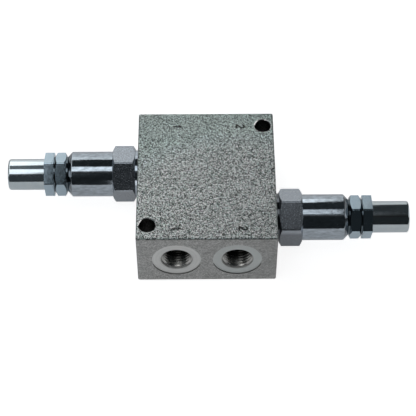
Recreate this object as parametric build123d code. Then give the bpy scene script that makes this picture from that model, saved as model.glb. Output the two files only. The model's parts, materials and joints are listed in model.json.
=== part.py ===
from build123d import *
import os
from math import cos, radians, sin, sqrt, tan

# Crossover relief block with two adjustable relief cartridges, in millimetres.
# X runs along the cartridges, Y through the ports and Z up.
# The origin is the centre of the block's underside.

# Block
BLOCK_LENGTH = 60.0
BLOCK_DEPTH = 70.0
BLOCK_HEIGHT = 30.0
BLOCK_EDGE_RADIUS = 0.8

# Port lines, drilled right through from front to rear
PORT_SPACING = 26.0
PORT_THREAD_DIA = 13.157
PORT_THREAD_DEPTH = 12.0
PORT_LEAD_IN = 0.32
PORT_SPOTFACE_DIA = 21.0
PORT_SPOTFACE_DEPTH = 0.3
LINE_DIA = 9.0
DRILL_POINT_ANGLE = 118.0

# Mounting holes, straight down through two opposite corners
MOUNT_HOLE_DIA = 7.0
MOUNT_HOLE_CHAMFER = 0.3
MOUNT_EDGE_X = 4.75
MOUNT_EDGE_Y = 7.5

# Cartridge cavities, one from each side face: seal recess, thread, chamber, nose bore, cross drilling
CARTRIDGE_SPACING = 25.0
CAVITY_THREAD_DIA = 18.0
CAVITY_THREAD_PITCH = 1.5
CAVITY_THREAD_DEPTH = 12.0
SEAL_RECESS_WIDTH = 0.9
SEAL_RECESS_DEPTH = 2.3
CHAMBER_END_GAP = 0.5
NOSE_BORE_DIA = 13.0
NOSE_BORE_LEAD_IN = 0.5
NOSE_BORE_GAP = 1.5
CROSS_DRILL_DIA = 7.0

# Cartridge body, outside the block
COLLAR_DIA = 21.0
COLLAR_THICKNESS = 1.35
COLLAR_CHAMFER = 0.25
BODY_HEX_FLATS = 22.0
BODY_HEX_LENGTH = 10.0
SLEEVE_DIA = 20.0
SLEEVE_LENGTH = 19.9
SLEEVE_TAPER_WIDTH = 1.9
SLEEVE_TAPER_LENGTH = 1.8
SLEEVE_EDGE_RADIUS = 0.6
HEX_CHAMFER_ANGLE = 30.0
HEX_CORNER_RADIUS = 1.0
HEX_FACE_SHARE = 0.98

# Cartridge body, inside the block
UNDERCUT_WIDTH = 1.3
UNDERCUT_EXTRA_LENGTH = 0.3
BODY_THREAD_ROOM = 0.5
BODY_THREAD_CHAMFER = 0.8
STEM_DIA = 14.4
SPRING_BORE_DIA = 11.8
DISCHARGE_HOLE_DIA = 4.0
DISCHARGE_HOLE_COUNT = 6

# Valve seat, pressed into the end of the stem
SEAT_SOCKET_LENGTH = 5.0
SEAT_FLANGE_LENGTH = 1.5
SEAT_BORE_DIA = 6.0
SEAT_CONE_WIDTH = 0.4
SEAT_NOSE_LENGTH = 7.0
SEAT_INLET_CHAMFER = 0.8
RING_GROOVE_SHOULDER = 1.4
RING_GROOVE_WIDTH = 3.2
RING_GROOVE_DEPTH = 1.7
BACKUP_RING_THICKNESS = 1.2

# Poppet
POPPET_CONE_ANGLE = 90.0
POPPET_HEAD_LENGTH = 4.0
POPPET_HEAD_FLAT_DEPTH = 0.55
POPPET_TAIL_LENGTH = 3.0
POPPET_TAIL_FLATS = 3
POPPET_TAIL_FLAT_DEPTH = 0.9
SPRING_STUD_LENGTH = 4.0
SPRING_STUD_CHAMFER = 0.6

# Main spring, its end turns closed and ground down to a share of the wire at the tip
SPRING_WIRE_DIA = 2.2
SPRING_ACTIVE_TURNS = 4.0
SPRING_CLOSED_TURNS = 0.75
SPRING_TIP_SHARE = 0.25

# Spring seat, the sliding pad between the spring and the screw
PAD_LENGTH = 8.0
PAD_BACK_ROOM = 2.4
PAD_CHAMFER = 0.4
PAD_GROOVE_WIDTH = 2.2
PAD_GROOVE_DEPTH = 1.75

# Adjusting screw
SCREW_THREAD_DIA = 10.0
SCREW_THREAD_LENGTH = 9.0
SCREW_TIP_DIA = 7.0
SCREW_TIP_LENGTH = 2.0
SCREW_END_CHAMFER = 0.8
SCREW_END_ROOM = 3.3
SOCKET_FLATS = 5.0
SOCKET_DEPTH = 6.0

# Lock nut and cap
SMALL_HEX_FLATS = 17.0
WASHER_FACE_DIA = 15.6
NUT_WASHER_FACE_LENGTH = 0.7
LOCK_NUT_THICKNESS = 5.6
CAP_WASHER_FACE_LENGTH = 0.6
CAP_HEX_LENGTH = 4.2
CAP_TUBE_DIA = 13.8
CAP_TUBE_LENGTH = 16.2
CAP_EDGE_RADIUS = 0.9
CAP_THREAD_LENGTH = 8.0
CAP_BORE_ROOM = 0.4
CAP_END_WALL = 2.2
THREAD_LEAD_IN = 0.5

# Clearances, on the radius unless said otherwise
THREAD_CLEARANCE = 0.05
SLIDING_CLEARANCE = 0.05
FITTED_CLEARANCE = 0.02
SPRING_CLEARANCE = 0.35
STUD_CLEARANCE = 0.25
TAIL_CLEARANCE = 0.3
RING_CLEARANCE = 0.03
POPPET_SEAT_GAP = 0.03

# How each hexagon happens to stand: the elevation of one flat above the front
BODY_HEX_CLOCK = {"left": 44.0, "right": 56.0}
LOCK_NUT_CLOCK = {"left": 52.5, "right": 41.0}
CAP_CLOCK = {"left": 52.5, "right": 41.0}

# Diameters that follow from the sizes above
SEAL_RECESS_DIA = CAVITY_THREAD_DIA + 2 * SEAL_RECESS_WIDTH
CHAMBER_DIA = CAVITY_THREAD_DIA - CAVITY_THREAD_PITCH
UNDERCUT_DIA = CAVITY_THREAD_DIA - 2 * UNDERCUT_WIDTH
SEAT_CONE_DIA = SEAT_BORE_DIA + 2 * SEAT_CONE_WIDTH
RING_GROOVE_DIA = NOSE_BORE_DIA - 2 * RING_GROOVE_DEPTH
POPPET_HEAD_DIA = SPRING_BORE_DIA - 2 * SLIDING_CLEARANCE
POPPET_TAIL_DIA = SEAT_BORE_DIA - 2 * TAIL_CLEARANCE
SPRING_MEAN_DIA = SPRING_BORE_DIA - SPRING_WIRE_DIA - 2 * SPRING_CLEARANCE
SPRING_STUD_DIA = SPRING_MEAN_DIA - SPRING_WIRE_DIA - 2 * STUD_CLEARANCE
PAD_GROOVE_DIA = SPRING_BORE_DIA - 2 * PAD_GROOVE_DEPTH
CAP_BORE_DIA = SCREW_THREAD_DIA + 2 * CAP_BORE_ROOM

# Slopes, as radius gained for each millimetre along the axis
CONE_SLOPE = tan(radians(POPPET_CONE_ANGLE / 2))
DRILL_POINT_SLOPE = tan(radians(DRILL_POINT_ANGLE / 2))

# Depths below the block's side face that follow from the sizes above
BODY_THREAD_DEPTH = CAVITY_THREAD_DEPTH - BODY_THREAD_ROOM
UNDERCUT_DEPTH = SEAL_RECESS_DEPTH + UNDERCUT_EXTRA_LENGTH
NEAR_LINE_DEPTH = (BLOCK_LENGTH - PORT_SPACING) / 2
FAR_LINE_DEPTH = NEAR_LINE_DEPTH + PORT_SPACING
SEAT_EDGE_DEPTH = NEAR_LINE_DEPTH + DISCHARGE_HOLE_DIA / 2
STEM_END_DEPTH = SEAT_EDGE_DEPTH + SEAT_SOCKET_LENGTH
SEAT_FLANGE_DEPTH = STEM_END_DEPTH + SEAT_FLANGE_LENGTH
GROOVE_NEAR_DEPTH = SEAT_FLANGE_DEPTH + RING_GROOVE_SHOULDER
GROOVE_FAR_DEPTH = GROOVE_NEAR_DEPTH + RING_GROOVE_WIDTH
NOSE_END_DEPTH = SEAT_FLANGE_DEPTH + SEAT_NOSE_LENGTH
CHAMBER_DEPTH = SEAT_FLANGE_DEPTH + CHAMBER_END_GAP
NOSE_BORE_DEPTH = NOSE_END_DEPTH + NOSE_BORE_GAP

# Heights above the block's side face that follow from the sizes above
HEX_START = COLLAR_THICKNESS
SLEEVE_START = HEX_START + BODY_HEX_LENGTH
SLEEVE_END = SLEEVE_START + SLEEVE_LENGTH
LOCK_NUT_HEX_START = SLEEVE_END + NUT_WASHER_FACE_LENGTH
LOCK_NUT_END = SLEEVE_END + LOCK_NUT_THICKNESS
CAP_HEX_START = LOCK_NUT_END + CAP_WASHER_FACE_LENGTH
CAP_HEX_END = CAP_HEX_START + CAP_HEX_LENGTH
CAP_END = CAP_HEX_END + CAP_TUBE_LENGTH
SPRING_BORE_END = SLEEVE_END - SCREW_THREAD_LENGTH
PAD_OUTER_FACE = SPRING_BORE_END - PAD_BACK_ROOM
PAD_INNER_FACE = PAD_OUTER_FACE - PAD_LENGTH
SCREW_END = CAP_END - CAP_END_WALL - SCREW_END_ROOM
POPPET_FACE = -SEAT_EDGE_DEPTH + POPPET_SEAT_GAP
POPPET_HEAD_START = POPPET_FACE + (POPPET_HEAD_DIA - SEAT_CONE_DIA) / 2 / CONE_SLOPE
POPPET_SHOULDER = POPPET_HEAD_START + POPPET_HEAD_LENGTH
SPRING_LENGTH = PAD_INNER_FACE - POPPET_SHOULDER


def turned(*outline):
    """A solid turned about Z from an outline of (radius, height) points."""
    return revolve(make_face(Plane.XZ * Polyline(*outline, close=True)), Axis.Z)


def rod(diameter, low, high):
    """A plain cylinder about Z from one height to another."""
    return turned((0, low), (diameter / 2, low), (diameter / 2, high), (0, high))


def through_hole(diameter, lead_in, low, high):
    """A cutter for a hole about Z with a 45 degree lead-in at both ends."""
    radius = diameter / 2
    return turned(
        (0, low),
        (radius + lead_in, low),
        (radius, low + lead_in),
        (radius, high - lead_in),
        (radius + lead_in, high),
        (0, high),
    )


def hexagon_bar(flats, low, high, corner_radius=HEX_CORNER_RADIUS):
    """A length of hexagon bar about Z with one flat facing +X and slightly rounded corners."""
    outline = RegularPolygon(flats / 2, 6, major_radius=False, rotation=30)
    if corner_radius:
        outline = fillet(outline.vertices(), corner_radius)
    return Pos(0, 0, low) * extrude(outline, high - low)


def chamfered_hexagon(flats, low, high):
    """A length of hexagon bar with its corners turned off at both ends."""
    face = HEX_FACE_SHARE * flats / 2
    corner = flats / sqrt(3)
    drop = (corner - face) * tan(radians(HEX_CHAMFER_ANGLE))
    envelope = turned(
        (0, low),
        (face, low),
        (corner, low + drop),
        (corner, high - drop),
        (face, high),
        (0, high),
    )
    return hexagon_bar(flats, low, high) & envelope


def ring(inner_dia, outer_dia, low):
    """A round-section sealing ring that fills the gap between two diameters."""
    section = (outer_dia - inner_dia) / 4 - RING_CLEARANCE
    middle = (outer_dia + inner_dia) / 4
    return Pos(0, 0, low + section) * Torus(middle, section)


def cartridge_frame(side, clock=0.0):
    """Where a cartridge's own axis starts: on the block's side face, +Z pointing out of the block.

    clock is the elevation above the front of the frame's +X direction.
    """
    sign = 1 if side == "right" else -1
    return Plane(
        origin=(sign * BLOCK_LENGTH / 2, -sign * CARTRIDGE_SPACING / 2, BLOCK_HEIGHT / 2),
        x_dir=(0, -cos(radians(clock)), sin(radians(clock))),
        z_dir=(sign, 0, 0),
    )


def cartridge_cavity():
    """The stepped cavity that one cartridge screws into, as a cutter in the cartridge's frame."""
    nose = NOSE_BORE_DIA / 2
    cross = CROSS_DRILL_DIA / 2
    point = (nose - cross) / DRILL_POINT_SLOPE
    return turned(
        (0, 0),
        (SEAL_RECESS_DIA / 2, 0),
        (SEAL_RECESS_DIA / 2, -SEAL_RECESS_DEPTH),
        (CAVITY_THREAD_DIA / 2, -SEAL_RECESS_DEPTH),
        (CAVITY_THREAD_DIA / 2, -CAVITY_THREAD_DEPTH),
        (CHAMBER_DIA / 2, -CAVITY_THREAD_DEPTH),
        (CHAMBER_DIA / 2, -CHAMBER_DEPTH),
        (nose + NOSE_BORE_LEAD_IN, -CHAMBER_DEPTH),
        (nose, -CHAMBER_DEPTH - NOSE_BORE_LEAD_IN),
        (nose, -NOSE_BORE_DEPTH),
        (cross, -NOSE_BORE_DEPTH - point),
        (cross, -FAR_LINE_DEPTH),
        (0, -FAR_LINE_DEPTH),
    )


def port_line():
    """One line from the front port to the rear port, as a cutter about Z centred on the block."""
    half = BLOCK_DEPTH / 2
    floor = half - PORT_SPOTFACE_DEPTH
    thread_end = half - PORT_THREAD_DEPTH
    thread = PORT_THREAD_DIA / 2
    line = LINE_DIA / 2
    port = turned(
        (0, half),
        (PORT_SPOTFACE_DIA / 2, half),
        (PORT_SPOTFACE_DIA / 2, floor),
        (thread + PORT_LEAD_IN, floor),
        (thread, floor - PORT_LEAD_IN),
        (thread, thread_end),
        (line, thread_end - (thread - line) / DRILL_POINT_SLOPE),
        (line, 0),
        (0, 0),
    )
    return port + Rot(180, 0, 0) * port


def manifold_block():
    """The block with its port lines, cartridge cavities and mounting holes."""
    block = Box(
        BLOCK_LENGTH,
        BLOCK_DEPTH,
        BLOCK_HEIGHT,
        align=(Align.CENTER, Align.CENTER, Align.MIN),
    )
    block = fillet(block.edges(), BLOCK_EDGE_RADIUS)
    for x in (-PORT_SPACING / 2, PORT_SPACING / 2):
        block -= Pos(x, 0, BLOCK_HEIGHT / 2) * Rot(90, 0, 0) * port_line()
    hole = through_hole(MOUNT_HOLE_DIA, MOUNT_HOLE_CHAMFER, 0, BLOCK_HEIGHT)
    hole_x = BLOCK_LENGTH / 2 - MOUNT_EDGE_X
    hole_y = BLOCK_DEPTH / 2 - MOUNT_EDGE_Y
    for sign in (-1, 1):
        block -= Pos(sign * hole_x, sign * hole_y, 0) * hole
    for side in ("left", "right"):
        block -= cartridge_frame(side) * cartridge_cavity()
    return block


def body_blank():
    """The turned outside of the cartridge body: stem, thread, undercut, collar and sleeve."""
    stem = STEM_DIA / 2
    thread = CAVITY_THREAD_DIA / 2 - THREAD_CLEARANCE
    undercut = UNDERCUT_DIA / 2
    collar = COLLAR_DIA / 2
    sleeve = SLEEVE_DIA / 2
    blank = turned(
        (0, -STEM_END_DEPTH),
        (stem, -STEM_END_DEPTH),
        (stem, -BODY_THREAD_DEPTH),
        (thread - BODY_THREAD_CHAMFER, -BODY_THREAD_DEPTH),
        (thread, -BODY_THREAD_DEPTH + BODY_THREAD_CHAMFER),
        (thread, -UNDERCUT_DEPTH),
        (undercut, -UNDERCUT_DEPTH),
        (undercut, 0),
        (collar - COLLAR_CHAMFER, 0),
        (collar, COLLAR_CHAMFER),
        (collar, HEX_START),
        (sleeve, HEX_START),
        (sleeve, SLEEVE_END - SLEEVE_TAPER_LENGTH),
        (sleeve - SLEEVE_TAPER_WIDTH, SLEEVE_END),
        (0, SLEEVE_END),
    )
    edge = blank.edges().filter_by(GeomType.CIRCLE).sort_by(Axis.Z)[-2]
    return fillet(edge, SLEEVE_EDGE_RADIUS)


def body_bore():
    """The bore of the cartridge body: a smooth spring chamber, then the screw's thread."""
    thread = SCREW_THREAD_DIA / 2
    return turned(
        (0, -STEM_END_DEPTH),
        (SPRING_BORE_DIA / 2, -STEM_END_DEPTH),
        (SPRING_BORE_DIA / 2, SPRING_BORE_END),
        (thread, SPRING_BORE_END),
        (thread, SLEEVE_END - THREAD_LEAD_IN),
        (thread + THREAD_LEAD_IN, SLEEVE_END),
        (0, SLEEVE_END),
    )


def cartridge_body():
    """The cartridge body in one piece, with its hexagon, bore and ring of discharge holes."""
    hexagon = chamfered_hexagon(BODY_HEX_FLATS, HEX_START, SLEEVE_START)
    body = body_blank() + hexagon - body_bore()
    hole = Rot(0, 90, 0) * rod(DISCHARGE_HOLE_DIA, 0, STEM_DIA)
    for turn in range(DISCHARGE_HOLE_COUNT):
        angle = 360 / DISCHARGE_HOLE_COUNT * turn
        body -= Pos(0, 0, -NEAR_LINE_DEPTH) * Rot(0, 0, angle) * hole
    return body


def valve_seat():
    """The seat sleeve: a pressed end with the seating cone, a flange and a grooved nose."""
    pressed = SPRING_BORE_DIA / 2 - FITTED_CLEARANCE
    nose = NOSE_BORE_DIA / 2 - SLIDING_CLEARANCE
    groove = RING_GROOVE_DIA / 2
    bore = SEAT_BORE_DIA / 2
    return turned(
        (bore + SEAT_CONE_WIDTH, -SEAT_EDGE_DEPTH),
        (pressed, -SEAT_EDGE_DEPTH),
        (pressed, -STEM_END_DEPTH),
        (STEM_DIA / 2, -STEM_END_DEPTH),
        (STEM_DIA / 2, -SEAT_FLANGE_DEPTH),
        (nose, -SEAT_FLANGE_DEPTH),
        (nose, -GROOVE_NEAR_DEPTH),
        (groove, -GROOVE_NEAR_DEPTH),
        (groove, -GROOVE_FAR_DEPTH),
        (nose, -GROOVE_FAR_DEPTH),
        (nose, -NOSE_END_DEPTH + SEAT_INLET_CHAMFER),
        (nose - SEAT_INLET_CHAMFER, -NOSE_END_DEPTH),
        (bore + SEAT_INLET_CHAMFER, -NOSE_END_DEPTH),
        (bore, -NOSE_END_DEPTH + SEAT_INLET_CHAMFER),
        (bore, -SEAT_EDGE_DEPTH - SEAT_CONE_WIDTH / CONE_SLOPE),
    )


def nose_backup_ring():
    """The flat backup ring on the low-pressure side of the nose groove."""
    high = -GROOVE_NEAR_DEPTH - RING_CLEARANCE
    low = high - BACKUP_RING_THICKNESS
    inner = RING_GROOVE_DIA / 2 + RING_CLEARANCE
    outer = NOSE_BORE_DIA / 2 - RING_CLEARANCE
    return turned((inner, low), (outer, low), (outer, high), (inner, high))


def nose_o_ring():
    """The round ring on the pressure side of the nose groove."""
    return ring(RING_GROOVE_DIA, NOSE_BORE_DIA, -GROOVE_FAR_DEPTH + RING_CLEARANCE)


def flange_o_ring():
    """The round ring in the block's mouth under the collar."""
    return ring(UNDERCUT_DIA, SEAL_RECESS_DIA, -SEAL_RECESS_DEPTH + RING_CLEARANCE)


def spring_stud(base, direction):
    """The stud that centres an end of the spring, up (1) or down (-1) from its base."""
    radius = SPRING_STUD_DIA / 2
    tip = base + direction * SPRING_STUD_LENGTH
    return turned(
        (0, base),
        (radius, base),
        (radius, tip - direction * SPRING_STUD_CHAMFER),
        (radius - SPRING_STUD_CHAMFER, tip),
        (0, tip),
    )


def poppet():
    """The guided poppet: fluted tail, seating cone, head with flats for the oil, spring stud."""
    tail = POPPET_TAIL_DIA / 2
    head = POPPET_HEAD_DIA / 2
    tail_start = -SEAT_EDGE_DEPTH - POPPET_TAIL_LENGTH
    cone_start = POPPET_HEAD_START - (head - tail) / CONE_SLOPE
    cone = turned(
        (0, cone_start),
        (tail, cone_start),
        (head, POPPET_HEAD_START),
        (head, POPPET_SHOULDER),
        (0, POPPET_SHOULDER),
    )
    flats = POPPET_HEAD_DIA - 2 * POPPET_HEAD_FLAT_DEPTH
    guide = cone & hexagon_bar(flats, cone_start, POPPET_SHOULDER, 0)
    stem = rod(POPPET_TAIL_DIA, tail_start, cone_start)
    flute = Pos(tail - POPPET_TAIL_FLAT_DEPTH, 0, tail_start) * Box(
        POPPET_TAIL_DIA,
        POPPET_TAIL_DIA,
        cone_start - tail_start,
        align=(Align.MIN, Align.CENTER, Align.MIN),
    )
    for turn in range(POPPET_TAIL_FLATS):
        stem -= Rot(0, 0, 360 / POPPET_TAIL_FLATS * turn) * flute
    return guide + stem + spring_stud(POPPET_SHOULDER, 1)


def coil(pitch, turns, low, start_turn):
    """The centre line of some turns of the spring, from a height and a place round the axis."""
    line = Helix(pitch, pitch * turns, SPRING_MEAN_DIA / 2)
    return Pos(0, 0, low) * Rot(0, 0, 360 * start_turn) * line


def main_spring():
    """The spring between poppet and spring seat, its end turns closed and ground flat."""
    wire = SPRING_WIRE_DIA
    tip = (SPRING_TIP_SHARE - 0.5) * wire
    closed_rise = SPRING_CLOSED_TURNS * wire
    free_rise = SPRING_LENGTH - 2 * (tip + closed_rise)
    pitch = free_rise / SPRING_ACTIVE_TURNS
    start = POPPET_SHOULDER + tip
    free_start = start + closed_rise
    free_end = free_start + free_rise
    last_turns = SPRING_CLOSED_TURNS + SPRING_ACTIVE_TURNS
    lines = (
        coil(wire, SPRING_CLOSED_TURNS, start, 0),
        coil(pitch, SPRING_ACTIVE_TURNS, free_start, SPRING_CLOSED_TURNS),
        coil(wire, SPRING_CLOSED_TURNS, free_end, last_turns),
    )
    path = Wire([line.edge() for line in lines])
    section = Plane(path @ 0, z_dir=path % 0) * Circle(wire / 2)
    ground = rod(2 * SPRING_MEAN_DIA, POPPET_SHOULDER, PAD_INNER_FACE)
    return sweep(section, path, is_frenet=True) & ground


def spring_seat():
    """The sliding pad that the screw pushes on, with its ring groove and spring stud."""
    radius = SPRING_BORE_DIA / 2 - SLIDING_CLEARANCE
    groove = PAD_GROOVE_DIA / 2
    middle = (PAD_OUTER_FACE + PAD_INNER_FACE) / 2
    pad = turned(
        (0, PAD_INNER_FACE),
        (radius - PAD_CHAMFER, PAD_INNER_FACE),
        (radius, PAD_INNER_FACE + PAD_CHAMFER),
        (radius, middle - PAD_GROOVE_WIDTH / 2),
        (groove, middle - PAD_GROOVE_WIDTH / 2),
        (groove, middle + PAD_GROOVE_WIDTH / 2),
        (radius, middle + PAD_GROOVE_WIDTH / 2),
        (radius, PAD_OUTER_FACE - PAD_CHAMFER),
        (radius - PAD_CHAMFER, PAD_OUTER_FACE),
        (0, PAD_OUTER_FACE),
    )
    return pad + spring_stud(PAD_INNER_FACE, -1)


def pad_o_ring():
    """The round ring in the middle of the spring seat."""
    middle = (PAD_OUTER_FACE + PAD_INNER_FACE) / 2
    section = (SPRING_BORE_DIA - PAD_GROOVE_DIA) / 4 - RING_CLEARANCE
    return ring(PAD_GROOVE_DIA, SPRING_BORE_DIA, middle - section)


def adjusting_screw():
    """The set screw: plain tip against the pad, threaded shank, hexagon socket at the far end."""
    radius = SCREW_THREAD_DIA / 2 - THREAD_CLEARANCE
    tip = SCREW_TIP_DIA / 2
    neck = PAD_OUTER_FACE + SCREW_TIP_LENGTH
    shank = turned(
        (0, PAD_OUTER_FACE),
        (tip, PAD_OUTER_FACE),
        (tip, neck),
        (radius, neck + radius - tip),
        (radius, SCREW_END - SCREW_END_CHAMFER),
        (radius - SCREW_END_CHAMFER, SCREW_END),
        (0, SCREW_END),
    )
    return shank - hexagon_bar(SOCKET_FLATS, SCREW_END - SOCKET_DEPTH, SCREW_END, 0)


def lock_nut():
    """The thin hexagon nut that jams the screw, with a washer face against the sleeve."""
    washer_face = rod(WASHER_FACE_DIA, SLEEVE_END, LOCK_NUT_HEX_START)
    nut = washer_face + chamfered_hexagon(SMALL_HEX_FLATS, LOCK_NUT_HEX_START, LOCK_NUT_END)
    return nut - through_hole(SCREW_THREAD_DIA, THREAD_LEAD_IN, SLEEVE_END, LOCK_NUT_END)


def cap():
    """The protective cap: a washer face against the nut, a hexagon and a closed tube."""
    tube = rod(CAP_TUBE_DIA, LOCK_NUT_END, CAP_END)
    rim = tube.edges().filter_by(GeomType.CIRCLE).sort_by(Axis.Z)[-1]
    washer_face = rod(WASHER_FACE_DIA, LOCK_NUT_END, CAP_HEX_START)
    hexagon = hexagon_bar(SMALL_HEX_FLATS, CAP_HEX_START, CAP_HEX_END)
    thread = SCREW_THREAD_DIA / 2
    bore = CAP_BORE_DIA / 2
    hollow = turned(
        (0, LOCK_NUT_END),
        (thread + THREAD_LEAD_IN, LOCK_NUT_END),
        (thread, LOCK_NUT_END + THREAD_LEAD_IN),
        (thread, LOCK_NUT_END + CAP_THREAD_LENGTH),
        (bore, LOCK_NUT_END + CAP_THREAD_LENGTH),
        (bore, CAP_END - CAP_END_WALL),
        (0, CAP_END - CAP_END_WALL),
    )
    return fillet(rim, CAP_EDGE_RADIUS) + washer_face + hexagon - hollow


def cartridge_parts(side):
    """Every piece of one cartridge, in place in the block."""
    plain = {
        "valve_seat": valve_seat(),
        "nose_o_ring": nose_o_ring(),
        "nose_backup_ring": nose_backup_ring(),
        "flange_o_ring": flange_o_ring(),
        "poppet": poppet(),
        "main_spring": main_spring(),
        "spring_seat": spring_seat(),
        "pad_o_ring": pad_o_ring(),
        "adjusting_screw": adjusting_screw(),
    }
    placed = {name: cartridge_frame(side) * piece for name, piece in plain.items()}
    clocked = {
        "cartridge_body": (cartridge_body(), BODY_HEX_CLOCK),
        "lock_nut": (lock_nut(), LOCK_NUT_CLOCK),
        "cap": (cap(), CAP_CLOCK),
    }
    for name, (piece, clock) in clocked.items():
        placed[name] = cartridge_frame(side, clock[side]) * piece
    return placed


def main():
    os.makedirs("parts", exist_ok=True)
    export_step(manifold_block(), "parts/manifold_block.step")
    for side in ("left", "right"):
        for name, piece in cartridge_parts(side).items():
            export_step(piece, f"parts/{name}_{side}.step")


main()
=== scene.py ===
import json
from math import ceil, cos, pi, radians, sin, tan
from types import SimpleNamespace

import bpy
from mathutils import Matrix, Vector

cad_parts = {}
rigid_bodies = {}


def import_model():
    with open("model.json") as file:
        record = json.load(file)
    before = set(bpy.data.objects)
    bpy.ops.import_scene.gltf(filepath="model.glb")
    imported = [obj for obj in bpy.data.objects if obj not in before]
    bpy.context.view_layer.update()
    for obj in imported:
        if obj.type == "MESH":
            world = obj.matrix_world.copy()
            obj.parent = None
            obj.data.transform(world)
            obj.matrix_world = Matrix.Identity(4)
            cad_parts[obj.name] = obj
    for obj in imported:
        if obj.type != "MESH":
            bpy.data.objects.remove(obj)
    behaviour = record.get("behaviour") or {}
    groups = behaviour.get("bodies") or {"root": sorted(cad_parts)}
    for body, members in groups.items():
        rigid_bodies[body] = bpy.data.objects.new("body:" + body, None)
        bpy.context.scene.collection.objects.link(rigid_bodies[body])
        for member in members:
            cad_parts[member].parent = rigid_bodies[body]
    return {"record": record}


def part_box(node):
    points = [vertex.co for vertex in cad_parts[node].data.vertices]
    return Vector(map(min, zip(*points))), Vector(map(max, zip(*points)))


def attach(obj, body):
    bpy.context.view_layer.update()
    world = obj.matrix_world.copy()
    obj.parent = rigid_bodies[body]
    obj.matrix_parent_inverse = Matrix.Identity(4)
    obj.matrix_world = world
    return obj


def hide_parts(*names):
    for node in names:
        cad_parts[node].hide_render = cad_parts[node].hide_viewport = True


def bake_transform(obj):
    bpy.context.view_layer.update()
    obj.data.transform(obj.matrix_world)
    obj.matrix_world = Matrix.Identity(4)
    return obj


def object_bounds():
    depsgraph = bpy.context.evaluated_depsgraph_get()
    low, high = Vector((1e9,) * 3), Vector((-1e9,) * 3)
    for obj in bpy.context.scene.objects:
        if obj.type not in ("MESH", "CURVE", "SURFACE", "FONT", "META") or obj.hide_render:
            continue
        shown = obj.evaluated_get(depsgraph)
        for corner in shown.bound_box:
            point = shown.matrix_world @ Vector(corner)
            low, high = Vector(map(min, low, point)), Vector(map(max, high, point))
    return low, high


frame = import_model()
cad_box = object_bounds()

# Crossover relief valve block with two relief cartridges, in metres.
# X runs along the cartridges, Y through the ports and Z up.
# The origin is the centre of the block's underside.
MM = 0.001
MICRON = 0.001 * MM
SIDES = {"left": -1, "right": 1}

# The block: sizes that the frame doesn't give
LINE_HEIGHT = 15 * MM
PORT_X = 13 * MM
PORT_THREAD_DIA = 13.157 * MM
PORT_THREAD_CREST_DIA = 11.6 * MM
PORT_THREAD_PITCH = 1.337 * MM
PORT_THREAD_DEPTH = 12 * MM
SPOTFACE_DIA = 21 * MM
SPOTFACE_DEPTH = 0.3 * MM
PORT_LEAD_IN = 0.32 * MM
MOUNT_X = 25.25 * MM
MOUNT_Y = 27.5 * MM
MOUNT_HOLE_DIA = 7 * MM

# The block: how far a finish or a painted shade reaches round the form that it belongs to
TOP_SKIN = 0.35 * MM
SPOTFACE_SKIN = 1.2 * SPOTFACE_DEPTH
PORT_BORE_RADIUS = PORT_THREAD_DIA / 2 + 1.1 * PORT_LEAD_IN
PORT_MOUTH_DEPTH = 1.8 * MM
PORT_PAINTED_SHADE_FROM = 3 * MM
PORT_PAINTED_SHADE_TO = 7 * MM
# Where the painted shade round each spotface's lower edge lies
SPOTFACE_RIM_RADIUS = SPOTFACE_DIA / 2 + 0.1 * MM
SPOTFACE_RIM_HALF = 0.15 * MM
SPOTFACE_RIM_TOP = LINE_HEIGHT - 3 * MM
MOUNT_BORE_RADIUS = MOUNT_HOLE_DIA / 2 + 0.02 * MM
MOUNT_CHAMFER_RADIUS = MOUNT_HOLE_DIA / 2 + 0.45 * MM
# How far below the top and in from the edges the painted edge shade reaches
PAINTED_EDGE_SHADE_DEPTH = 0.8 * MM
PAINTED_EDGE_SHADE_FROM = 0.2 * MM
TURNING_FEED = 0.5 * MM

# The cartridges: places along X from the block's middle, and sizes
CARTRIDGE_Y = 12.5 * MM
COLLAR_X = 30.5 * MM
COLLAR_HALF = 0.9 * MM
COLLAR_END = 31.35 * MM
BODY_HEX_END = 41.35 * MM
SLEEVE_TAPER_START = 59.5 * MM
NUT_MIDDLE = 64.4 * MM
NUT_HEX_HALF = 2.45 * MM
CAP_HEX_START = 67.45 * MM
CAP_HEX_END = 71.65 * MM
SMALL_HEX_FACE_DIA = 0.98 * 17 * MM
HEX_CHAMFER_ANGLE = 30
CHAMFER_SKIN = 0.08 * MM
WASHER_FACE_DIA = 15.6 * MM
WASHER_FACE_SKIN = 0.05 * MM

# The adjusting screw and the spring
SCREW_THREAD_PITCH = 1 * MM
SCREW_THREAD_DEPTH = 0.55 * MM
SCREW_THREAD_ROOT_SHARE = 0.2
SCREW_THREAD_FLANK_SHARE = 0.65
SCREW_TIP_DIA = 7 * MM
SCREW_TIP_LENGTH = 2 * MM
SCREW_END_CHAMFER = 0.8 * MM
SOCKET_FLATS = 5 * MM
SOCKET_DEPTH = 6 * MM
SPRING_WIRE_DIA = 2.2 * MM
SPRING_CLOSED_TURNS = 0.75
SPRING_ACTIVE_TURNS = 4
SPRING_TIP_SHARE = 0.25

# A port thread's ridge: its section as shares of its height and of the pitch, and its run-out
RIDGE_SECTION = (
    (0.0, -0.48), (0.55, -0.2), (0.93, -0.09), (1.0, 0.0), (0.93, 0.09), (0.55, 0.2), (0.0, 0.48),
)
RIDGE_ROOT_GAP = 0.02 * MM
RIDGE_RUN_OUT_TURNS = 0.25
RIDGE_END_SHARE = 0.02

# The plain numbers of the two lines, marked on the top face beside the ports
NUMBER_HEIGHT = 3.9 * MM
NUMBER_PEN = 0.82 * MM
NUMBER_RELIEF = 0.02 * MM
NUMBER_X = {1: -12.9 * MM, 2: 15.3 * MM}
NUMBER_Y = {"front": -29.6 * MM, "rear": 27.1 * MM}

# Camera, fitted to the block's corners, with its angles in degrees and its lens and sensor in mm
CAMERA_PLACE = Vector((-2.42, -395.70, 518.48)) * MM
CAMERA_PITCH = 52.335
CAMERA_YAW = 0.452
CAMERA_LENS = 125.48
SENSOR_WIDTH = 36

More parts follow.
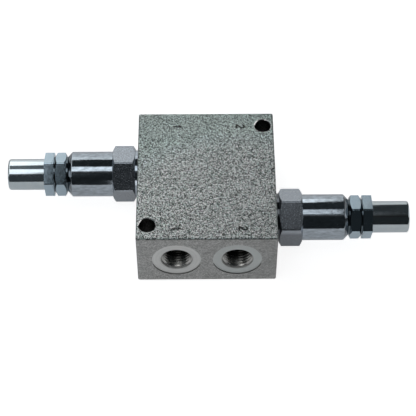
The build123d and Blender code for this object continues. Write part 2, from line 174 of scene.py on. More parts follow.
# Studio cards: how far they stand from the object, where the front ones start, their least height
CARD_DISTANCE = 0.9
FLAG_DISTANCE = 0.16
CARD_LIFT = 0.2 * MM
FLAG_COLOUR = (0.8, 0.93, 1.0)
SOFTBOX_COLOUR = (0.93, 0.97, 1.0)
REAR_COLOUR = (0.98, 1.0, 1.0)
WHITE = (1.0, 1.0, 1.0)

FLOOR_HALF = 3.0
FLOOR_COLOUR = (0.62, 0.62, 0.63)


class Finish:
    """A procedural finish: one Principled shader and the nodes that feed it."""

    def __init__(self, name, metallic):
        self.material = bpy.data.materials.new(name)
        self.material.use_nodes = True
        self.tree = self.material.node_tree
        self.shader = self.tree.nodes["Principled BSDF"]
        self.shader.inputs["Metallic"].default_value = metallic
        self.place = self.add("ShaderNodeTexCoord").outputs["Object"]

    def add(self, kind, inputs=None, **settings):
        """A new node with its settings, and its inputs set or linked."""
        node = self.tree.nodes.new(kind)
        for name, value in settings.items():
            setattr(node, name, value)
        for name, value in (inputs or {}).items():
            self.feed(node.inputs[name], value)
        return node

    def feed(self, socket, value):
        """Gives a socket a number or colour, or links it to another node's output."""
        if isinstance(value, bpy.types.NodeSocket):
            self.tree.links.new(value, socket)
        else:
            socket.default_value = value

    def axes(self):
        """The shaded place's X, Y and Z."""
        outputs = self.add("ShaderNodeSeparateXYZ", {0: self.place}).outputs
        return outputs["X"], outputs["Y"], outputs["Z"]

    def math(self, operation, *values):
        """What a Math node makes of its values."""
        return self.add("ShaderNodeMath", dict(enumerate(values)), operation=operation).outputs[0]

    def times(self, first, *others):
        for other in others:
            first = self.math("MULTIPLY", first, other)
        return first

    def plus(self, first, *others):
        for other in others:
            first = self.math("ADD", first, other)
        return first

    def minus(self, first, second):
        return self.math("SUBTRACT", first, second)

    def most(self, first, *others):
        """The greatest of some values, which joins masks."""
        for other in others:
            first = self.math("MAXIMUM", first, other)
        return first

    def below(self, value, limit):
        """A mask that is 1 where a value is less than a limit."""
        return self.math("LESS_THAN", value, limit)

    def above(self, value, limit):
        """A mask that is 1 where a value is more than a limit."""
        return self.math("GREATER_THAN", value, limit)

    def near(self, value, target, room):
        """A mask that is 1 where a value is no further from a target than the room."""
        return self.math("COMPARE", value, target, room)

    def amount(self, value):
        """A value without its sign."""
        return self.math("ABSOLUTE", value)

    def vector(self, operation, first, second):
        """What a Vector Math node makes of two vectors."""
        node = self.add("ShaderNodeVectorMath", {0: first, 1: second}, operation=operation)
        return node.outputs["Value" if operation == "DOT_PRODUCT" else "Vector"]

    def scaled(self, colour, level):
        """A colour times a level."""
        inputs = {0: colour, "Scale": level}
        return self.add("ShaderNodeVectorMath", inputs, operation="SCALE").outputs["Vector"]

    def distance(self, first, second):
        """How far a point lies from a centre, by its two offsets from it."""
        squares = (self.times(offset, offset) for offset in (first, second))
        return self.math("SQRT", self.plus(*squares))

    def noise(self, scale, detail, stretch=None):
        """Soft noise of a number of spots per metre, from 0 to 1."""
        place = self.vector("MULTIPLY", self.place, stretch) if stretch else self.place
        inputs = {"Vector": place, "Scale": scale, "Detail": detail, "Roughness": 0.55}
        return self.add("ShaderNodeTexNoise", inputs).outputs["Fac"]

    def spread(self, value, low, high, to_low=0.0, to_high=1.0):
        """A value moved from one range to another, and kept in it."""
        inputs = {"Value": value, "From Min": low, "From Max": high, "To Min": to_low, "To Max": to_high}
        return self.add("ShaderNodeMapRange", inputs).outputs["Result"]

    def blend(self, share, first, second):
        """A colour between two others, which a Mix node takes at its sockets 6 and 7."""
        inputs = {0: share, 6: first, 7: second}
        return self.add("ShaderNodeMix", inputs, data_type="RGBA").outputs[2]

    def facets(self, scale, slope):
        """The height of small flat facets that lean at random, with a greatest slope."""
        cell = self.add("ShaderNodeTexVoronoi", {"Vector": self.place, "Scale": scale})
        lean = self.vector("SUBTRACT", cell.outputs["Color"], (0.5, 0.5, 0.5))
        offset = self.vector("SUBTRACT", self.place, cell.outputs["Position"])
        return self.times(self.vector("DOT_PRODUCT", lean, offset), 2 * slope)

    def bump(self, height):
        """Raises the surface by a height in metres."""
        inputs = {"Height": height, "Strength": 1.0, "Distance": 1.0}
        self.feed(self.shader.inputs["Normal"], self.add("ShaderNodeBump", inputs).outputs["Normal"])

    def colour(self, value):
        self.feed(self.shader.inputs["Base Color"], value)

    def roughness(self, value):
        self.feed(self.shader.inputs["Roughness"], value)


def tone(red, green, blue):
    """An opaque colour."""
    return (red, green, blue, 1.0)


def block_regions(f):
    """Places and distances on the block, and masks of 0 or 1 for what looks different on it."""
    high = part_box("manifold_block")[1]
    x, y, z = f.axes()
    across = f.amount(x)
    off_end = f.minus(high.y, f.amount(y))
    off_top = f.minus(high.z, z)
    port_radius = f.distance(f.minus(across, PORT_X), f.minus(z, LINE_HEIGHT))
    hole_y = f.times(y, f.math("SIGN", x))
    hole_radius = f.distance(f.minus(across, MOUNT_X), f.minus(hole_y, MOUNT_Y))
    at_end = f.below(off_end, SPOTFACE_SKIN)
    # Painted shade: a dark ring round the lower part of each spotface's edge
    rim = f.near(port_radius, SPOTFACE_RIM_RADIUS, SPOTFACE_RIM_HALF)
    return SimpleNamespace(
        x=x,
        y=y,
        off_side=f.minus(high.x, across),
        off_end=off_end,
        off_top=off_top,
        port_radius=port_radius,
        top=f.below(off_top, TOP_SKIN),
        spotface=f.times(at_end, f.below(port_radius, SPOTFACE_DIA / 2)),
        painted_rim_shade=f.times(rim, at_end, f.below(z, SPOTFACE_RIM_TOP)),
        bore=f.times(f.below(port_radius, PORT_BORE_RADIUS), f.above(off_end, SPOTFACE_SKIN)),
        mouth=f.below(off_end, PORT_MOUTH_DEPTH),
        hole=f.below(hole_radius, MOUNT_BORE_RADIUS),
        chamfer=f.below(hole_radius, MOUNT_CHAMFER_RADIUS),
    )


def plating_level(f, on):
    """How bright the plating is for its grains and streaks, with painted shade: the top darker towards
    the rear and the left, the sides darker towards the right, and a dark line along the top's edges.
    """
    cells = f.add("ShaderNodeTexVoronoi", {"Vector": f.place, "Scale": 3400})
    grains = f.spread(f.vector("DOT_PRODUCT", cells.outputs["Color"], (1, 0, 0)), 0.3, 0.7, -1.0, 1.0)
    contrast = f.times(f.spread(on.top, 0, 1, 0.30, 0.97), f.spread(on.y, 8 * MM, 34 * MM, 1.0, 0.72))

    streaks = f.spread(f.noise(1100, 2, stretch=(0.22, 0.22, 1.0)), 0.3, 0.7, 0.88, 1.12)
    # Painted shade: the sides darker towards the right, the top lighter at the front and darker towards
    # the rear and the left
    streaks_and_painted_side_shade = f.times(streaks, f.spread(on.x, 4 * MM, 28 * MM, 1.0, 0.92))
    painted_rearward_shade = f.spread(on.y, -5 * MM, 32 * MM, 1.10, 0.86)
    painted_top_shade = f.times(painted_rearward_shade, f.spread(on.x, -26 * MM, 0, 0.86, 1.0))
    streaks_and_painted_shade = f.plus(streaks_and_painted_side_shade, f.times(on.top, f.minus(painted_top_shade, streaks_and_painted_side_shade)))
    level = f.times(streaks_and_painted_shade, f.plus(1.0, f.times(grains, contrast)))

    # Painted shade: a dark, ragged line along the top's side and end edges
    ragged = f.spread(f.noise(700, 2), 0.3, 0.7, -0.2 * MM, 0.2 * MM)
    near_top = f.below(on.off_top, PAINTED_EDGE_SHADE_DEPTH)
    for gap, left, width in ((on.off_side, 0.62, 0.6 * MM), (on.off_end, 0.60, 0.8 * MM)):
        painted_edge_shade = f.spread(f.plus(gap, ragged), PAINTED_EDGE_SHADE_FROM, width, left - 1.0, 0.0)
        level = f.times(level, f.plus(1.0, f.times(near_top, painted_edge_shade)))
    return level


def plated_block_finish():
    """Grainy zinc plating with turned spotfaces, bright hole chamfers and darker mounting-hole walls,
    the top painted lighter, and painted shade along the top's edges, round the spotfaces' lower rims, on
    the right and deep in the port bores.
    """
    f = Finish("plated_block", 1.0)
    on = block_regions(f)
    patches = f.spread(f.noise(55, 2), 0.40, 0.62)
    # Painted light: the top's plating is painted lighter than the sides' plating, and greener
    painted_light_top_tone = f.blend(patches, tone(0.525, 0.607, 0.587), tone(0.54, 0.610, 0.588))
    plating = f.blend(on.top, tone(0.49, 0.495, 0.49), painted_light_top_tone)
    rings = f.add("ShaderNodeCombineXYZ", {0: on.port_radius}).outputs[0]
    turned = f.add("ShaderNodeTexNoise", {"Vector": rings, "Scale": 900, "Detail": 2}).outputs["Fac"]
    turned_tone = f.blend(f.spread(turned, 0.3, 0.7), tone(0.72, 0.73, 0.72), tone(0.84, 0.85, 0.84))
    # Painted shade: the spotfaces on the right are painted a darker tone
    turned_tone = f.blend(f.spread(on.x, -4 * MM, 4 * MM), turned_tone, tone(0.655, 0.69, 0.685))
    # Painted shade: the port bores darken towards black with depth, and the mouth keeps a light tone
    painted_depth_shade = f.spread(on.off_end, PORT_PAINTED_SHADE_FROM, PORT_PAINTED_SHADE_TO)
    bore_tone = f.blend(painted_depth_shade, tone(0.40, 0.40, 0.39), tone(0.06, 0.06, 0.06))
    bore_tone = f.blend(on.mouth, bore_tone, tone(0.66, 0.66, 0.65))
    colour = f.scaled(plating, plating_level(f, on))
    for region, region_tone in (
        (on.spotface, turned_tone),
        (on.bore, bore_tone),
        (on.painted_rim_shade, tone(0.22, 0.22, 0.21)),
        (on.chamfer, tone(0.88, 0.88, 0.87)),
        (on.hole, tone(0.28, 0.28, 0.28)),
    ):
        colour = f.blend(region, colour, region_tone)
    f.colour(colour)

    rough = f.spread(f.noise(400, 2), 0.3, 0.7, 0.40, 0.50)
    rough = f.plus(rough, f.times(on.bore, on.mouth, 0.45))
    shiny = f.most(on.chamfer, f.minus(on.bore, on.mouth))
    f.roughness(f.minus(rough, f.times(shiny, 0.25)))

    smooth = f.most(on.spotface, on.bore, on.chamfer)
    grain = f.plus(f.facets(3600, 0.07), f.times(f.noise(5200, 2), 6 * MICRON))
    turning = f.times(f.math("SINE", f.times(on.port_radius, 2 * pi / TURNING_FEED)), 2.5 * MICRON)
    f.bump(f.plus(f.times(grain, f.minus(1.0, smooth)), f.times(turning, on.spotface)))
    return f.material


def plated_body_finish():
    """Bright plating: nearly a mirror where it is turned, grainy on the drawn hexagon, with painted
    shade on the right collar, the sleeves' upper outer ends and the hexagons' lower faces.
    """
    f = Finish("plated_body", 1.0)
    x, _, z = f.axes()
    along = f.amount(x)
    hexagon = f.times(f.above(along, COLLAR_END), f.below(along, BODY_HEX_END))
    smears = f.spread(f.noise(1000, 3, stretch=(0.4, 1.0, 1.0)), 0.34, 0.66)
    sleeve_tone = f.blend(smears, tone(0.41, 0.46, 0.51), tone(0.59, 0.66, 0.73))
    # Painted shade: the collar on the right is painted dark
    painted_collar_shade = f.below(f.amount(f.minus(x, COLLAR_X)), COLLAR_HALF)
    # Painted shade: the upper half of each sleeve's outer end, from its taper on, is painted darker
    painted_taper_shade_share = f.spread(z, 12 * MM, 16 * MM, 0.0, 0.75)
    painted_taper_shade = f.times(f.above(along, SLEEVE_TAPER_START), painted_taper_shade_share)
    sleeve_tone = f.blend(f.most(painted_collar_shade, painted_taper_shade), sleeve_tone, tone(0.12, 0.13, 0.14))

    grain = f.noise(2400, 3)
    drawn_tone = f.blend(f.spread(grain, 0.35, 0.65), tone(0.38, 0.41, 0.45), tone(0.56, 0.61, 0.67))
    # Painted shade: the drawn hexagons' lower faces are painted darker, more so on the right
    painted_shade_rightward = f.spread(x, -30 * MM, 30 * MM, 0.32, 0.60)
    painted_lower_face_shade = f.times(painted_shade_rightward, f.spread(z, 17 * MM, 19 * MM, 1.0, 0.0))
    drawn_tone = f.blend(painted_lower_face_shade, drawn_tone, tone(0.15, 0.16, 0.17))
    f.colour(f.blend(hexagon, sleeve_tone, drawn_tone))

    mirror = f.spread(f.noise(180, 3), 0.3, 0.7, 0.05, 0.11)
    drawn = f.spread(grain, 0.3, 0.7, 0.18, 0.28)
    f.roughness(f.plus(mirror, f.times(f.minus(drawn, mirror), hexagon)))
    turned = f.times(f.noise(900, 2, stretch=(3.0, 0.35, 0.35)), 1.5 * MICRON)
    waves = f.times(f.noise(550, 3, stretch=(0.5, 1.0, 1.0)), 18 * MICRON)
    f.bump(f.plus(turned, waves, f.times(grain, 20 * MICRON, hexagon)))
    return f.material


def plated_nut_finish():
    """Bluish bright plating on the lock nuts and caps, whiter on the tubes, with painted shade on the
    washer faces and the hexagons' end chamfers.
    """
    f = Finish("plated_nut", 1.0)
    x, y, z = f.axes()
    along = f.amount(x)
    aside = f.plus(y, f.times(f.math("SIGN", x), CARTRIDGE_Y))
    radius = f.distance(aside, f.minus(z, LINE_HEIGHT))
    tube = f.above(along, CAP_HEX_END)
    inner = f.below(radius, WASHER_FACE_DIA / 2 + WASHER_FACE_SKIN)
    washer_face = f.times(inner, f.below(along, CAP_HEX_END))
    off_nut_end = f.minus(NUT_HEX_HALF, f.amount(f.minus(along, NUT_MIDDLE)))
    off_face = f.most(off_nut_end, f.minus(along, CAP_HEX_START))
    past_face = f.minus(radius, SMALL_HEX_FACE_DIA / 2)
    cone = f.times(past_face, tan(radians(HEX_CHAMFER_ANGLE)))
    chamfer = f.near(off_face, cone, CHAMFER_SKIN)
    # Painted shade: the washer faces and the hexagons' end chamfers are painted dark
    painted_groove_shade = f.most(washer_face, f.times(chamfer, 0.75))
    clouds = f.spread(f.noise(220, 3), 0.3, 0.7)
    bluish = f.blend(clouds, tone(0.52, 0.66, 0.76), tone(0.58, 0.70, 0.79))
    whitish = f.blend(clouds, tone(0.66, 0.74, 0.79), tone(0.72, 0.79, 0.82))
    f.colour(f.blend(painted_groove_shade, f.blend(tube, bluish, whitish), tone(0.14, 0.17, 0.19)))
    f.roughness(f.spread(f.noise(900, 3), 0.3, 0.7, 0.08, 0.12))
    f.bump(f.times(f.noise(700, 3), 3 * MICRON))
    return f.material


def hardened_steel_finish():
    """Ground steel with fine marks round the axis."""
    f = Finish("hardened_steel", 1.0)
    marks = f.noise(2500, 2, stretch=(1.0, 0.12, 0.12))
    f.colour(f.blend(f.spread(marks, 0.3, 0.7), tone(0.42, 0.42, 0.43), tone(0.50, 0.50, 0.51)))
    f.roughness(f.spread(marks, 0.3, 0.7, 0.18, 0.32))
    f.bump(f.times(marks, 4 * MICRON))
    return f.material


def spring_steel_finish():
    """Oiled spring wire with streaks of scale."""
    f = Finish("spring_steel", 1.0)
    scale = f.noise(600, 4)
    f.colour(f.blend(f.spread(scale, 0.35, 0.65), tone(0.16, 0.15, 0.15), tone(0.30, 0.30, 0.32)))
    f.roughness(f.spread(scale, 0.3, 0.7, 0.25, 0.45))
    f.bump(f.times(scale, 8 * MICRON))
    return f.material


def black_screw_finish():
    """Black oxide with thin, slightly worn patches."""
    f = Finish("black_screw", 1.0)
    wear = f.noise(800, 4)
    f.colour(f.blend(f.spread(wear, 0.58, 0.75), tone(0.055, 0.055, 0.06), tone(0.20, 0.20, 0.21)))
    f.roughness(f.spread(wear, 0.3, 0.7, 0.28, 0.45))
    f.bump(f.times(f.noise(2200, 3), 6 * MICRON))
    return f.material


def nitrile_finish():
    """Matt black rubber."""
    f = Finish("nitrile", 0.0)
    dust = f.noise(900, 4)
    f.colour(f.blend(f.spread(dust, 0.4, 0.7), tone(0.018, 0.018, 0.018), tone(0.04, 0.04, 0.04)))
    f.roughness(f.spread(dust, 0.3, 0.7, 0.45, 0.65))
    f.bump(f.times(f.noise(1800, 3), 10 * MICRON))
    return f.material


def ptfe_finish():
    """Slightly waxy white plastic."""
    f = Finish("ptfe", 0.0)
    clouds = f.noise(500, 3)
    f.colour(f.blend(f.spread(clouds, 0.3, 0.7), tone(0.80, 0.79, 0.74), tone(0.88, 0.87, 0.83)))
    f.roughness(f.spread(clouds, 0.3, 0.7, 0.35, 0.5))
    f.bump(f.times(f.noise(1500, 2), 6 * MICRON))
    return f.material


def thread_finish():
    """Cut thread inside the block: oily plated metal, with painted shade that darkens it in its depth.
    """
    f = Finish("cut_thread", 1.0)
    smear = f.noise(500, 3)
    _, y, _ = f.axes()
    # Painted shade: darker with depth in the port
    painted_deep_shade = f.spread(f.minus(cad_box[1].y, f.amount(y)), PORT_PAINTED_SHADE_FROM, PORT_PAINTED_SHADE_TO)
    bright = f.blend(f.spread(smear, 0.35, 0.65), tone(0.50, 0.50, 0.48), tone(0.68, 0.68, 0.66))
    f.colour(f.blend(painted_deep_shade, bright, tone(0.07, 0.07, 0.065)))
    f.roughness(f.spread(smear, 0.3, 0.7, 0.18, 0.30))
    f.bump(f.times(f.noise(2500, 2), 4 * MICRON))
    return f.material


def mark_finish():
    """The dark, slightly broken lines of a marked number."""
    f = Finish("mark", 0.0)
    worn = f.noise(2200, 3)
    f.colour(f.blend(f.spread(worn, 0.45, 0.7), tone(0.020, 0.019, 0.018), tone(0.06, 0.06, 0.055)))
    f.roughness(f.spread(worn, 0.3, 0.7, 0.45, 0.7))
    f.bump(f.times(worn, 6 * MICRON))
    return f.material


def new_piece(name, points, faces, material, smooth_angle=35):
    """A mesh object from points in metres and faces of point numbers, smooth up to an angle."""
    mesh = bpy.data.meshes.new(name)
    mesh.from_pydata(points, [], faces)
    mesh.update()
    mesh.polygons.foreach_set("use_smooth", [True] * len(mesh.polygons))
    mesh.set_sharp_from_angle(angle=radians(smooth_angle))
    piece = bpy.data.objects.new(name, mesh)
    bpy.context.scene.collection.objects.link(piece)
    mesh.materials.append(material)
    return piece


def ring_solid(name, rings, material, smooth_angle=35):
    """A closed solid from rings of as many points each, with its first and last ring filled.

    The faces look outwards where each ring runs anticlockwise as seen from the rings after it.
    """
    columns = len(rings[0])
    points = [point for ring in rings for point in ring]
    faces = [
        (
            row * columns + column,
            row * columns + (column + 1) % columns,
            (row + 1) * columns + (column + 1) % columns,
            (row + 1) * columns + column,
        )
        for row in range(len(rings) - 1)
        for column in range(columns)
    ]
    faces.append(tuple(reversed(range(columns))))
    faces.append(tuple(range(len(points) - columns, len(points))))
    return new_piece(name, points, faces, material, smooth_angle)


def axis_frame(start, along, across):
    """A matrix that puts +Z of a turned shape along one direction and its +X along another."""
    z, x = Vector(along), Vector(across)
    rotation = Matrix((x, z.cross(x), z)).transposed().to_4x4()
    return Matrix.Translation(start) @ rotation


def cartridge_frame(side, x):
    """The frame of a cartridge's axis from a place along X, with +Z pointing out of the block."""
    low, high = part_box(f"cap_{side}")
    start = Vector((x, (low.y + high.y) / 2, LINE_HEIGHT))
    return axis_frame(start, (SIDES[side], 0, 0), (0, -1, 0))


def inner_and_outer(side, node):
    """Where along X a node of a cartridge starts and ends, from the block outwards."""
    low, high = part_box(f"{node}_{side}")
    return (low.x, high.x) if SIDES[side] > 0 else (high.x, low.x)


def thread_ridge(name, place, root, crest, pitch, length, material, rows_per_turn=72):
    """A helical ridge on the wall of a bore, with a rounded crest and run-out ends."""
    turns = length / pitch - 1
    rings = []
    for row in range(ceil(turns * rows_per_turn) + 1):
        turn = row / rows_per_turn
        angle = 2 * pi * turn
        run_out = min(1.0, turn / RIDGE_RUN_OUT_TURNS, (turns - turn) / RIDGE_RUN_OUT_TURNS)
        ring = []
        for height, offset in RIDGE_SECTION:
            radius = root + (crest - root) * height * max(run_out, RIDGE_END_SHARE)
            along = (turn + 0.5 + offset) * pitch
            ring.append(place @ Vector((radius * cos(angle), radius * sin(angle), along)))
        rings.append(ring)
    return ring_solid(name, rings, material, smooth_angle=60)


def port_threads(material):
    """The cut threads in the four ports."""
    half_depth = cad_box[1].y
    wall_start = half_depth - SPOTFACE_DEPTH - PORT_LEAD_IN
    length = wall_start - (half_depth - PORT_THREAD_DEPTH)
    for number, x in ((1, -PORT_X), (2, PORT_X)):
        for end, sign in (("front", -1), ("rear", 1)):
            place = axis_frame(Vector((x, sign * wall_start, LINE_HEIGHT)), (0, -sign, 0), (0, 0, 1))
            ridge = thread_ridge(
                f"port_{number}_{end}_thread",
                place,
                PORT_THREAD_DIA / 2 + RIDGE_ROOT_GAP,
                PORT_THREAD_CREST_DIA / 2,
                PORT_THREAD_PITCH,
                length,
                material,
            )
            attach(ridge, "block")


def screw_radius(height, angle, length, crest):
    """The radius of the adjusting screw's threaded stretch at a height and an angle."""
    phase = (height / SCREW_THREAD_PITCH - angle / (2 * pi)) % 1.0
    off_root = (abs(2 * phase - 1) - SCREW_THREAD_ROOT_SHARE) / SCREW_THREAD_FLANK_SHARE
    threaded = crest - SCREW_THREAD_DEPTH * (1 - min(max(off_root, 0.0), 1.0))
    neck = SCREW_TIP_DIA / 2 + height - SCREW_TIP_LENGTH
    chamfer = crest - SCREW_END_CHAMFER + length - height
    return min(threaded, neck, chamfer)


def adjusting_screw(side, material, columns=60, rows_per_turn=10):
    """The set screw with its plain tip, its thread and its hexagon socket."""
    node = f"adjusting_screw_{side}"
    low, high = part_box(node)
    start, end = inner_and_outer(side, "adjusting_screw")
    place = cartridge_frame(side, start)
    length = abs(end - start)
    crest = (high.z - low.z) / 2
    angles = [2 * pi * column / columns for column in range(columns)]
    wedge = pi / 3
    tip = [SCREW_TIP_DIA / 2] * columns
    socket = [SOCKET_FLATS / 2 / cos((angle + wedge / 2) % wedge - wedge / 2) for angle in angles]

    def ring(height, radii):
        return [
            place @ Vector((radius * cos(angle), radius * sin(angle), height))
            for radius, angle in zip(radii, angles)
        ]

    def threaded_ring(height):
        return ring(height, [screw_radius(height, angle, length, crest) for angle in angles])

    step = SCREW_THREAD_PITCH / rows_per_turn
    steps = ceil((length - SCREW_TIP_LENGTH) / step)
    rings = [ring(0, tip), ring(SCREW_TIP_LENGTH, tip)]
    rings += [threaded_ring(SCREW_TIP_LENGTH + row * step) for row in range(1, steps)]
    rings += [threaded_ring(length), ring(length, socket), ring(length - SOCKET_DEPTH, socket)]
    piece = ring_solid(f"{node}_threaded", rings, material)
    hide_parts(node)
    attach(piece, node)


def spring_height(turn, length):
    """The height of the spring's centre line after some turns from its inner end."""
    tip = (SPRING_TIP_SHARE - 0.5) * SPRING_WIRE_DIA
    closed_rise = SPRING_CLOSED_TURNS * SPRING_WIRE_DIA
    free_rise = length - 2 * (tip + closed_rise)
    closed = min(turn, SPRING_CLOSED_TURNS)
    free = min(max(turn - SPRING_CLOSED_TURNS, 0), SPRING_ACTIVE_TURNS)
    last = max(turn - SPRING_CLOSED_TURNS - SPRING_ACTIVE_TURNS, 0)
    return tip + (closed + last) * SPRING_WIRE_DIA + free / SPRING_ACTIVE_TURNS * free_rise


def spring_half(name, place, turns, length, mean_radius, material, rows_per_turn=60, columns=20):
    """Part of the spring between two turns, with what passes its ground ends cut flat."""
    first_turn, last_turn = turns
    rows = ceil((last_turn - first_turn) * rows_per_turn) + 1
    step = 0.01
    rings = []
    for row in range(rows):
        turn = first_turn + (last_turn - first_turn) * row / (rows - 1)
        angle = 2 * pi * turn
        outward = Vector((cos(angle), sin(angle), 0))
        rise = (spring_height(turn + step, length) - spring_height(turn - step, length)) / (2 * step)
        tangent = Vector((-sin(angle), cos(angle), 0)) * 2 * pi * mean_radius + Vector((0, 0, rise))
        upward = tangent.normalized().cross(outward)
        centre = outward * mean_radius + Vector((0, 0, spring_height(turn, length)))
        ring = []
        for column in range(columns):
            around = 2 * pi * column / columns
            point = centre + (outward * cos(around) + upward * sin(around)) * SPRING_WIRE_DIA / 2
            point.z = min(max(point.z, 0), length)
            ring.append(place @ point)
        rings.append(ring)
    return ring_solid(name, rings, material)


def main_spring(side, material):
    """The relief spring, in two halves that meet half-way."""
    node = f"main_spring_{side}"
    low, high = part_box(node)
    start, end = inner_and_outer(side, "main_spring")
    place = cartridge_frame(side, start)
    length = abs(end - start)
    mean_radius = (high.z - low.z - SPRING_WIRE_DIA) / 2
    turns = 2 * SPRING_CLOSED_TURNS + SPRING_ACTIVE_TURNS
    for half, its_turns in (("inner", (0, turns / 2)), ("outer", (turns / 2, turns))):
        piece = spring_half(f"{node}_{half}", place, its_turns, length, mean_radius, material)
        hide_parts(node)
        if half == "inner":
            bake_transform(piece)
        else:
            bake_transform(piece)


def number_path(number):
    """The pen's path for a plain 1 or 2, in shares of its height from its middle."""
    if number == 1:
        return [(-0.2, 0.2), (0.0, 0.42), (0.0, -0.5)]
    bow = [radians(angle) for angle in range(165, -31, -15)]
    top = [(0.22 * cos(angle), 0.2 + 0.22 * sin(angle)) for angle in bow]
    return top + [(-0.24, -0.41), (0.28, -0.41)]


def pen_line(name, path, place, material):
    """A line of the pen's width along a path in metres, just proud of the face, with mitred bends."""
    points = [Vector(point) for point in path]
    corners = ((1, 1), (-1, 1), (-1, -1), (1, -1))
    rings = []
    for before, point, after in zip(points[:1] + points, points, points[1:] + points[-1:]):
        ways = [way.normalized() for way in (point - before, after - point) if way.length > 0]
        along = sum(ways, Vector((0, 0))).normalized()
        half_width = NUMBER_PEN / 2 / max(along.dot(ways[0]), 0.5)
        aside = Vector((-along.y, along.x)) * half_width
        rings.append([
            place @ (point + side * aside).to_3d() + Vector((0, 0, lift * NUMBER_RELIEF))
            for side, lift in corners
        ])
    return ring_solid(name, rings, material)


def line_numbers(material):
    """The plain numbers of the two lines beside their ports, read from the left."""
    top = cad_box[1].z
    for end, y in NUMBER_Y.items():
        for number, x in NUMBER_X.items():
            path = [(across * NUMBER_HEIGHT, up * NUMBER_HEIGHT) for across, up in number_path(number)]
            place = Matrix.Translation((x, y, top)) @ Matrix.Rotation(-pi / 2, 4, "Z")
            piece = pen_line(f"line_{number}_{end}_number", path, place, material)
            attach(piece, "block")


def dress_nodes(finishes):
    """Gives each CAD node the finish of its slot in the record."""
    for row in frame["record"]["subparts"]:
        node = bpy.data.objects[row["node"]]
        for slot in node.material_slots:
            slot.material = finishes[row["material_slot"]]


def card_light(name, colour):
    """A material that only shines, as brightly as the card's own levels say."""
    material = bpy.data.materials.new(name)
    material.use_nodes = True
    nodes = material.node_tree.nodes
    nodes.clear()
    level = nodes.new("ShaderNodeAttribute")
    level.attribute_name = "level"
    shine = nodes.new("ShaderNodeEmission")
    shine.inputs["Color"].default_value = tone(*colour)
    output = nodes.new("ShaderNodeOutputMaterial")
    material.node_tree.links.new(level.outputs["Fac"], shine.inputs["Strength"])
    material.node_tree.links.new(shine.outputs[0], output.inputs["Surface"])
    return material


def studio_card(name, colour, columns, distances=(CARD_DISTANCE, CARD_DISTANCE), low_share=1.0):
    """A bent card beside the object, which the camera doesn't see.

    Each column is a place along X, the angles up from the front of the card's two edges as seen
    from the cartridges' height, and the card's brightness there. Its lower edge has a share of it.
    """
    points, levels = [], []
    for x, low_angle, high_angle, level in columns:
        edges = ((low_angle, distances[0], low_share), (high_angle, distances[1], 1.0))
        for angle, distance, share in edges:
            y = -distance * cos(radians(angle))
            z = LINE_HEIGHT + distance * sin(radians(angle))
            points.append((x, y, max(z, CARD_LIFT)))
            levels.append(level * share)
    faces = [(2 * step, 2 * step + 1, 2 * step + 3, 2 * step + 2) for step in range(len(columns) - 1)]
    card = new_piece(name, points, faces, card_light(name, colour))
    card.data.attributes.new("level", "FLOAT", "POINT").data.foreach_set("value", levels)
    card.visible_camera = False


def studio():
    """A white studio with dark cards in front, overhead and at the sides, and soft lights between."""
    studio_card(
        "front_flag",
        FLAG_COLOUR,
        ((-1.2, -5.5, 34, 0.045), (-0.185, -5.5, 36, 0.045), (-0.172, -5.5, 54, 0.045),
         (-0.10, -5.5, 54, 0.045), (-0.085, -5.5, 54, 0.02), (0.10, -5.5, 52, 0.02),
         (1.2, -5.5, 50, 0.02)),
        (FLAG_DISTANCE, CARD_DISTANCE),
    )
    studio_card(
        "port_light",
        WHITE,
        ((-0.050, -5.4, 20, 1.0), (-0.018, -5.4, 20, 1.0)),
        (0.95 * FLAG_DISTANCE, 1.05 * FLAG_DISTANCE),
    )
    studio_card(
        "softbox_fringe",
        SOFTBOX_COLOUR,
        ((-0.26, 34, 50, 0.35), (-0.185, 36, 54, 0.35), (-0.172, 54, 66, 0.07), (-0.12, 54, 66, 0.12),
         (0.10, 52, 67, 0.16), (0.145, 50, 67, 0.12), (0.20, 50, 67, 0.03), (1.2, 50, 67, 0.03)),
        low_share=0.1,
    )
    studio_card(
        "softbox",
        SOFTBOX_COLOUR,
        ((-0.26, 50, 90, 1.4), (-0.185, 54, 91, 1.4), (-0.172, 66, 90, 1.3), (-0.12, 66, 89, 1.25),
         (0.10, 67, 90, 0.9), (0.145, 67, 91, 0.75)),
    )
    studio_card(
        "left_flag",
        FLAG_COLOUR,
        ((-1.2, 34, 181, 0.12), (-0.26, 34, 181, 0.12)),
    )
    studio_card(
        "right_flag",
        FLAG_COLOUR,
        ((0.145, 67, 91, 0.03), (1.2, 67, 91, 0.04)),
    )
    studio_card(
        "top_flag",
        FLAG_COLOUR,
        ((-0.26, 90, 117, 0.16), (-0.185, 91, 122, 0.16), (-0.14, 89, 131, 0.02),
         (0.11, 90, 130, 0.03), (0.15, 91, 142, 0.03), (0.20, 91, 153, 0.04), (1.2, 91, 153, 0.05)),
    )
    studio_card(
        "rear_light",
        REAR_COLOUR,
        ((-0.26, 117, 166, 1.5), (-0.185, 122, 162, 1.45), (-0.12, 131, 148, 0.82),
         (0.11, 130, 156, 1.25), (0.15, 142, 160, 0.5), (0.20, 153, 162, 0.6), (0.26, 153, 162, 0.6),
         (0.27, 153, 162, 0.05), (1.2, 153, 162, 0.05)),
    )
    studio_card(
        "rear_wall",
        REAR_COLOUR,
        ((-0.26, 166, 181, 0.85), (-0.185, 162, 181, 0.80), (-0.12, 148, 181, 0.66),
         (0.11, 156, 181, 0.62), (0.20, 162, 181, 0.58), (0.26, 162, 181, 0.58),
         (0.27, 162, 181, 0.05), (1.2, 162, 181, 0.05)),
    )


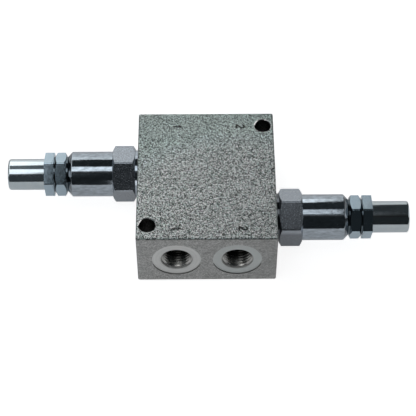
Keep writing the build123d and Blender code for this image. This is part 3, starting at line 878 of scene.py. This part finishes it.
def background_share(tree, camera_level, mirror_level, other_level):
    """A strength that is one level for the camera, one for mirrored rays and one for all others."""
    path = tree.nodes.new("ShaderNodeLightPath")
    mirrored = tree.nodes.new("ShaderNodeMath")
    mirrored.operation = "MAXIMUM"
    tree.links.new(path.outputs["Is Glossy Ray"], mirrored.inputs[0])
    tree.links.new(path.outputs["Is Transmission Ray"], mirrored.inputs[1])
    is_camera = path.outputs["Is Camera Ray"]
    level = None
    for share, amount in ((mirrored.outputs[0], mirror_level), (is_camera, camera_level)):
        node = tree.nodes.new("ShaderNodeMix")
        tree.links.new(share, node.inputs[0])
        node.inputs[2].default_value = other_level
        if level:
            tree.links.new(level, node.inputs[2])
        node.inputs[3].default_value = amount
        level = node.outputs[0]
    return level


def white_world():
    """A white surrounding, a little dimmer as a light than as it looks."""
    world = bpy.data.worlds.new("studio")
    bpy.context.scene.world = world
    world.use_nodes = True
    background = world.node_tree.nodes["Background"]
    background.inputs["Color"].default_value = tone(*WHITE)
    level = background_share(world.node_tree, camera_level=1.0, mirror_level=1.0, other_level=0.9)
    world.node_tree.links.new(level, background.inputs["Strength"])


def pale_floor():
    """A pale floor that the camera sees as white, with the object's faint shadow."""
    material = bpy.data.materials.new("floor")
    material.use_nodes = True
    tree = material.node_tree
    tree.nodes.clear()
    matt = tree.nodes.new("ShaderNodeBsdfDiffuse")
    matt.inputs["Color"].default_value = tone(*FLOOR_COLOUR)
    shine = tree.nodes.new("ShaderNodeEmission")
    level = background_share(tree, camera_level=0.87, mirror_level=0.25, other_level=0.0)
    tree.links.new(level, shine.inputs["Strength"])
    both = tree.nodes.new("ShaderNodeAddShader")
    tree.links.new(matt.outputs[0], both.inputs[0])
    tree.links.new(shine.outputs[0], both.inputs[1])
    output = tree.nodes.new("ShaderNodeOutputMaterial")
    tree.links.new(both.outputs[0], output.inputs["Surface"])
    corners = ((-1, -1), (1, -1), (1, 1), (-1, 1))
    points = [(x * FLOOR_HALF, y * FLOOR_HALF, 0) for x, y in corners]
    new_piece("floor", points, [(0, 1, 2, 3)], material)


def photo_camera():
    """The camera that the photo fits."""
    camera = bpy.data.objects.new("camera", bpy.data.cameras.new("camera"))
    bpy.context.scene.collection.objects.link(camera)
    camera.data.sensor_width = SENSOR_WIDTH
    camera.data.lens = CAMERA_LENS
    camera.location = CAMERA_PLACE
    camera.rotation_euler = (radians(90 - CAMERA_PITCH), 0, radians(-CAMERA_YAW))
    bpy.context.scene.camera = camera


def main():
    """Dresses the CAD nodes, adds the finer pieces and sets up the studio and the camera."""
    bpy.context.scene.view_settings.view_transform = "Standard"
    finishes = {
        "plated_block": plated_block_finish(),
        "plated_body": plated_body_finish(),
        "plated_nut": plated_nut_finish(),
        "hardened_steel": hardened_steel_finish(),
        "spring_steel": spring_steel_finish(),
        "black_screw": black_screw_finish(),
        "nitrile": nitrile_finish(),
        "ptfe": ptfe_finish(),
    }
    dress_nodes(finishes)
    port_threads(thread_finish())
    line_numbers(mark_finish())
    for side in SIDES:
        adjusting_screw(side, finishes["black_screw"])
        main_spring(side, finishes["spring_steel"])
    studio()
    white_world()
    pale_floor()
    photo_camera()


main()
